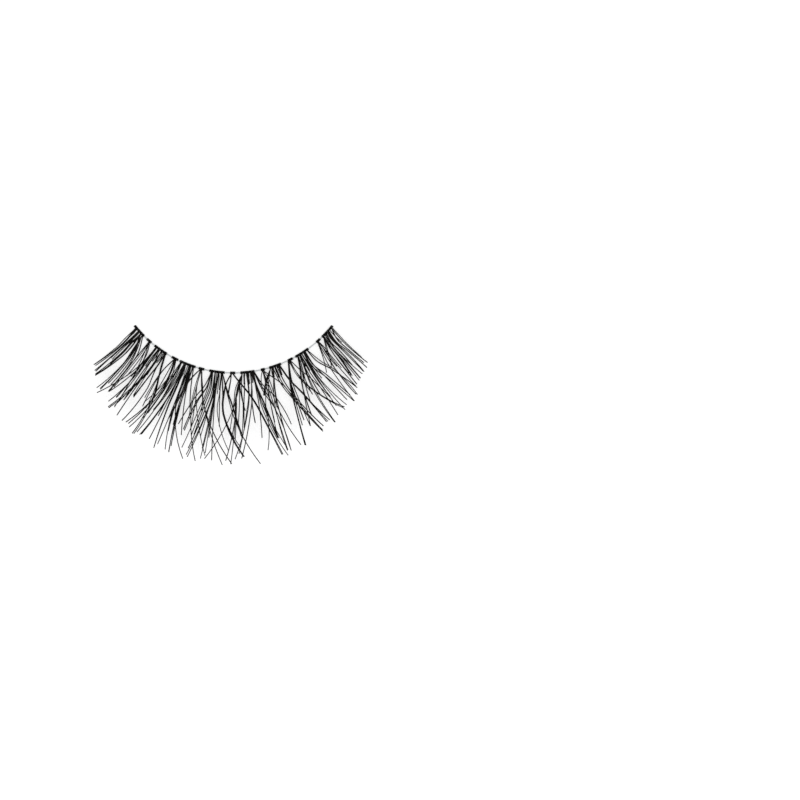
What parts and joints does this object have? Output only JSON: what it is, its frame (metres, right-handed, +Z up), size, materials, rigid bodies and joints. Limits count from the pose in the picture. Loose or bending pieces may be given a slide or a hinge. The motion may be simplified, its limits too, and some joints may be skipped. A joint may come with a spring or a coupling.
{
  "type": "false eyelash strip",
  "caption": "Strip of false eyelashes: black hairs knotted in tufts along a thin clear thread that bows into an arc, lying flat with the hairs curling up.",
  "frame": {"origin": "underside of the middle knot, at the middle of the thread's arc, on the plane that the strip rests on", "axes": "+Z up, +X along the strip to its right end as seen from above, -Y outwards along the middle hairs"},
  "size_m": [0.0385, 0.0196, 0.0059],
  "materials": {
    "clear_thread": "clear drawn thread, smooth",
    "lash_hair": "black synthetic hair with a satin sheen"
  },
  "bodies": {
    "root": {"band": "clear_thread", "tuft_01": "lash_hair", "tuft_02": "lash_hair", "tuft_03": "lash_hair", "tuft_04": "lash_hair", "tuft_05": "lash_hair", "tuft_06": "lash_hair", "tuft_07": "lash_hair", "tuft_08": "lash_hair", "tuft_09": "lash_hair", "tuft_10": "lash_hair", "tuft_11": "lash_hair", "tuft_12": "lash_hair", "tuft_13": "lash_hair", "tuft_14": "lash_hair", "tuft_15": "lash_hair"}
  },
  "joints": []
}
